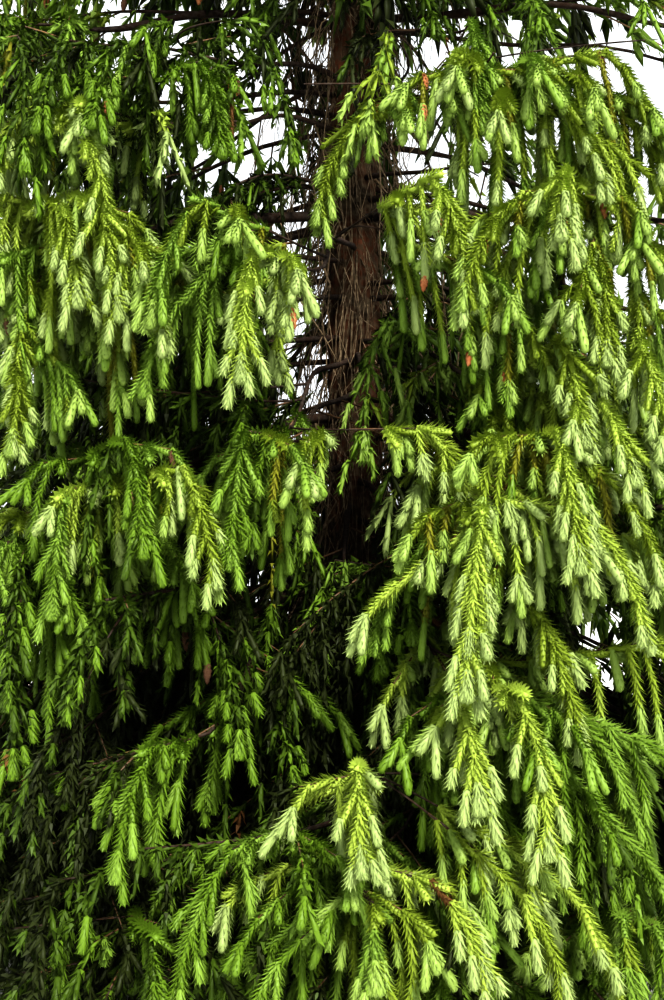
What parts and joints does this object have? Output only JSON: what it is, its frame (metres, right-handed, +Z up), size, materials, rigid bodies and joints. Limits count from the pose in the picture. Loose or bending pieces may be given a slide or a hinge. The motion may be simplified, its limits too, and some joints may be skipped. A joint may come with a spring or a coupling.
{
  "type": "norway spruce tree",
  "caption": "Weeping norway spruce: straight tapering trunk with root flare, sweeping boughs in tiers and hanging curtains of needled branchlets, rooted at a flat ground cut.",
  "frame": {"origin": "middle of the flat cut under the trunk, at ground level", "axes": "+Z up along the trunk, -Y towards the side where a gap in the foliage shows the trunk"},
  "size_m": [5.0386, 5.0514, 12],
  "materials": {
    "bark": "scaly dark bark",
    "bough_bark": "rough thin bark",
    "needles": "satin needles"
  },
  "bodies": {
    "root": {"bough_1_1": "bough_bark", "bough_1_2": "bough_bark", "bough_1_3": "bough_bark", "bough_1_4": "bough_bark", "bough_1_5": "bough_bark", "bough_2_1": "bough_bark", "bough_2_2": "bough_bark", "bough_2_3": "bough_bark", "bough_2_4": "bough_bark", "bough_2_5": "bough_bark", "bough_3_1": "bough_bark", "bough_3_2": "bough_bark", "bough_3_3": "bough_bark", "bough_3_4": "bough_bark", "bough_3_5": "bough_bark", "foliage_10_1": "needles", "foliage_10_2": "needles", "foliage_10_3": "needles", "foliage_11_1": "needles", "foliage_11_2": "needles", "foliage_11_3": "needles", "foliage_12_1": "needles", "foliage_12_2": "needles", "foliage_12_3": "needles", "foliage_1_1": "needles", "foliage_1_2": "needles", "foliage_1_3": "needles", "foliage_1_4": "needles", "foliage_1_5": "needles", "foliage_2_1": "needles", "foliage_2_2": "needles", "foliage_2_3": "needles", "foliage_2_4": "needles", "foliage_2_5": "needles", "foliage_3_1": "needles", "foliage_3_2": "needles", "foliage_3_3": "needles", "foliage_3_4": "needles", "foliage_3_5": "needles", "foliage_4_1": "needles", "foliage_4_2": "needles", "foliage_4_3": "needles", "foliage_5_1": "needles", "foliage_5_2": "needles", "foliage_5_3": "needles", "foliage_6_1": "needles", "foliage_6_2": "needles", "foliage_6_3": "needles", "foliage_7_1": "needles", "foliage_7_2": "needles", "foliage_7_3": "needles", "foliage_8_1": "needles", "foliage_8_2": "needles", "foliage_8_3": "needles", "foliage_9_1": "needles", "foliage_9_2": "needles", "foliage_9_3": "needles", "trunk": "bark"}
  },
  "joints": []
}
